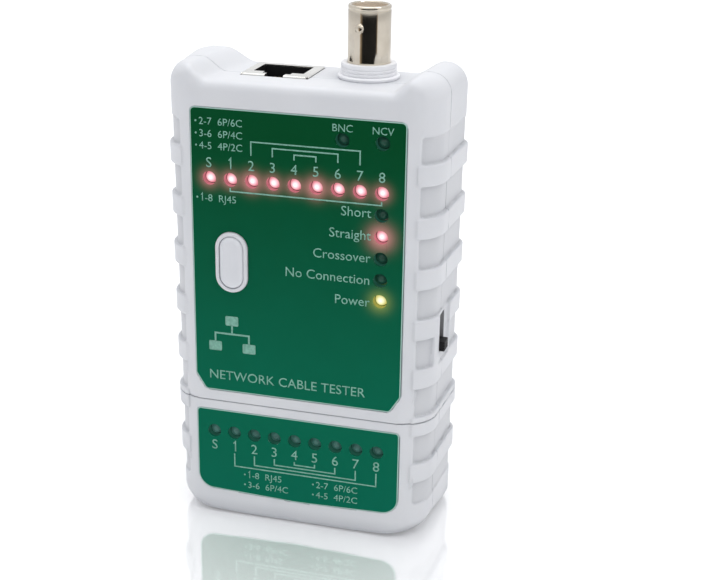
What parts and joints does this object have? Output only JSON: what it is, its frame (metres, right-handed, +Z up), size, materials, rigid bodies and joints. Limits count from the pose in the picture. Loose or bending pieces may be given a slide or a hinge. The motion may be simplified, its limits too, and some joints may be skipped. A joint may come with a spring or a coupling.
{
  "type": "network cable tester",
  "caption": "Handheld network cable tester in a ribbed white case with green labels, indicator rows, modular jack, coaxial socket, and a docked remote unit.",
  "frame": {"origin": "centre of the base, in the middle of the case's width and depth", "axes": "+Z up towards the sockets, -Y out of the front face with the labels, +X to the right seen from the front"},
  "size_m": [0.0667, 0.0297, 0.1245],
  "materials": {
    "case_white": "moulded satin ABS",
    "label_green": "printed polycarbonate overlay",
    "board_green": "solder mask",
    "led_lit_red": "glowing red epoxy lens",
    "led_status": "red epoxy lens",
    "led_dark": "unlit epoxy lens",
    "jack_metal": "tin plated sheet",
    "black_plastic": "moulded nylon",
    "gold_contact": "gold flash",
    "socket_white": "moulded white thermoplastic",
    "nickel": "polished nickel plate",
    "insulator_white": "turned fluoropolymer",
    "chip_black": "moulded epoxy",
    "capacitor_tan": "fired ceramic",
    "switch_metal": "stamped steel",
    "copper": "bare copper",
    "button_white": "moulded gloss ABS",
    "battery_jacket": "lacquered jacket",
    "lead_red": "silicone insulation",
    "lead_black": "silicone insulation"
  },
  "bodies": {
    "main_unit": {"front_shell": "case_white", "rear_shell": "case_white", "front_label": "label_green", "main_pcb": "board_green", "pcb_screws": "switch_metal", "wiremap_leds": "led_lit_red", "status_leds": "led_status", "port_leds": "led_dark", "main_jack_shield": "jack_metal", "main_jack_housing": "black_plastic", "main_jack_contacts": "gold_contact", "bnc_housing": "socket_white", "bnc_barrel": "nickel", "bnc_insulator": "insulator_white", "bnc_center_contact": "gold_contact", "microcontroller": "chip_black", "driver_ics": "chip_black", "resistors": "chip_black", "capacitors": "capacitor_tan", "crystal": "switch_metal", "ncv_antenna": "copper", "switch_frame": "switch_metal", "switch_terminals": "switch_metal", "tact_switch_body": "chip_black", "battery": "battery_jacket", "battery_terminals": "switch_metal", "battery_snap": "black_plastic", "battery_lead_red": "lead_red", "battery_lead_black": "lead_black", "case_screws": "switch_metal"},
    "test_button": {"test_button": "button_white"},
    "tact_plunger": {"tact_switch_plunger": "switch_metal"},
    "power_switch": {"power_switch_slider": "black_plastic"},
    "battery_cover": {"battery_cover": "case_white"},
    "remote_unit": {"remote_front_shell": "case_white", "remote_rear_shell": "case_white", "remote_label": "label_green", "remote_pcb": "board_green", "remote_pcb_screws": "switch_metal", "remote_leds": "led_dark", "remote_jack_shield": "jack_metal", "remote_jack_housing": "black_plastic", "remote_jack_contacts": "gold_contact", "remote_ic": "chip_black", "remote_resistors": "chip_black", "remote_screws": "switch_metal"}
  },
  "joints": [
    {"name": "test_button_press", "type": "slide", "parent": "main_unit", "child": "test_button", "axis": [0, 1, 0], "range_m": [0, 0.0005]},
    {"name": "tact_plunger_press", "type": "slide", "parent": "main_unit", "child": "tact_plunger", "axis": [0, 1, 0], "range_m": [0, 0.0005]},
    {"name": "power_switch_slide", "type": "slide", "parent": "main_unit", "child": "power_switch", "axis": [0, 0, 1], "range_m": [0, 0.006]},
    {"name": "battery_cover_release", "type": "slide", "parent": "main_unit", "child": "battery_cover", "axis": [0, 1, 0], "range_m": [0, 0.025]},
    {"name": "remote_detach", "type": "slide", "parent": "main_unit", "child": "remote_unit", "axis": [0, 0, -1], "range_m": [0, 0.04]}
  ],
  "couplings": [
    {"joint": "tact_plunger_press", "follows": "test_button_press", "ratio": 1}
  ]
}
